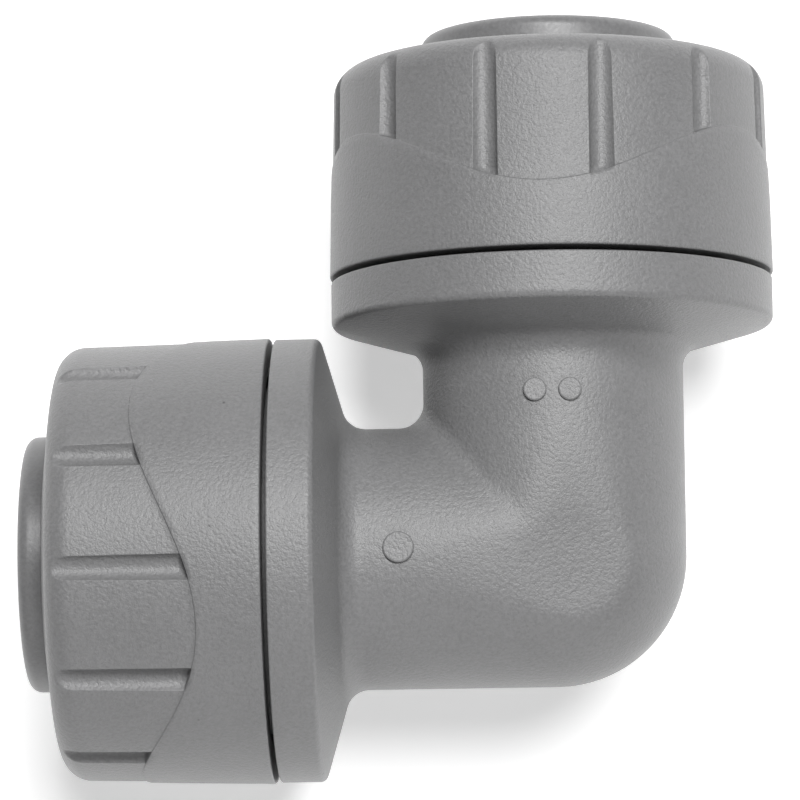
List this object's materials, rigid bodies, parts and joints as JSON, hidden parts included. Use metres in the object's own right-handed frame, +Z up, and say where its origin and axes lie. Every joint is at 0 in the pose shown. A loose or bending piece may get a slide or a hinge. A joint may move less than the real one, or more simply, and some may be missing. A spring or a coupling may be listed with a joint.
{
  "type": "push to connect fitting",
  "caption": "Push-fit plumbing elbow for 15 mm pipe: a 90 degree body with a screw cap, release collar, grab ring and O-ring seal at each port.",
  "frame": {"origin": "crossing of the two port axes, in the middle of the elbow's waterway", "axes": "port A points along -X, port B along +Y, and +Z is up with the elbow lying flat on its two caps"},
  "size_m": [0.0589, 0.0589, 0.035],
  "materials": {
    "body_plastic": "moulded grey polybutylene, fine matt grain",
    "cap_plastic": "moulded grey plastic, fine matt grain",
    "collar_plastic": "moulded grey acetal, satin",
    "inner_plastic": "natural acetal, satin",
    "spring_steel": "stamped stainless steel",
    "washer_plastic": "black nylon, satin",
    "seal_rubber": "lubricated EPDM rubber"
  },
  "bodies": {
    "elbow": {"elbow_body": "body_plastic", "spacer_washer_a": "washer_plastic", "spacer_washer_b": "washer_plastic", "o_ring_a": "seal_rubber", "o_ring_b": "seal_rubber"},
    "grip_a": {"wedge_ring_a": "inner_plastic", "grab_ring_a": "spring_steel"},
    "cap_a": {"cap_a": "cap_plastic"},
    "collar_a": {"release_collar_a": "collar_plastic"},
    "grip_b": {"wedge_ring_b": "inner_plastic", "grab_ring_b": "spring_steel"},
    "cap_b": {"cap_b": "cap_plastic"},
    "collar_b": {"release_collar_b": "collar_plastic"}
  },
  "joints": [
    {"name": "cap_a_travel", "type": "slide", "parent": "elbow", "child": "grip_a", "axis": [-1, 0, 0], "range_m": [-0.00036, 0.00751]},
    {"name": "cap_a_turn", "type": "hinge", "parent": "grip_a", "child": "cap_a", "pos_m": [-0.03, 0, 0], "axis": [-1, 0, 0], "range_deg": [-42, 900]},
    {"name": "collar_a_press", "type": "slide", "parent": "grip_a", "child": "collar_a", "axis": [1, 0, 0], "range_m": [0, 0.0015]},
    {"name": "cap_b_travel", "type": "slide", "parent": "elbow", "child": "grip_b", "axis": [0, 1, 0], "range_m": [-0.00036, 0.00751]},
    {"name": "cap_b_turn", "type": "hinge", "parent": "grip_b", "child": "cap_b", "pos_m": [0, 0.03, 0], "axis": [0, 1, 0], "range_deg": [-42, 900]},
    {"name": "collar_b_press", "type": "slide", "parent": "grip_b", "child": "collar_b", "axis": [0, -1, 0], "range_m": [0, 0.0015]}
  ],
  "couplings": [
    {"joint": "cap_a_travel", "follows": "cap_a_turn", "m_per_rad": 0.00047746},
    {"joint": "cap_b_travel", "follows": "cap_b_turn", "m_per_rad": 0.00047746}
  ]
}
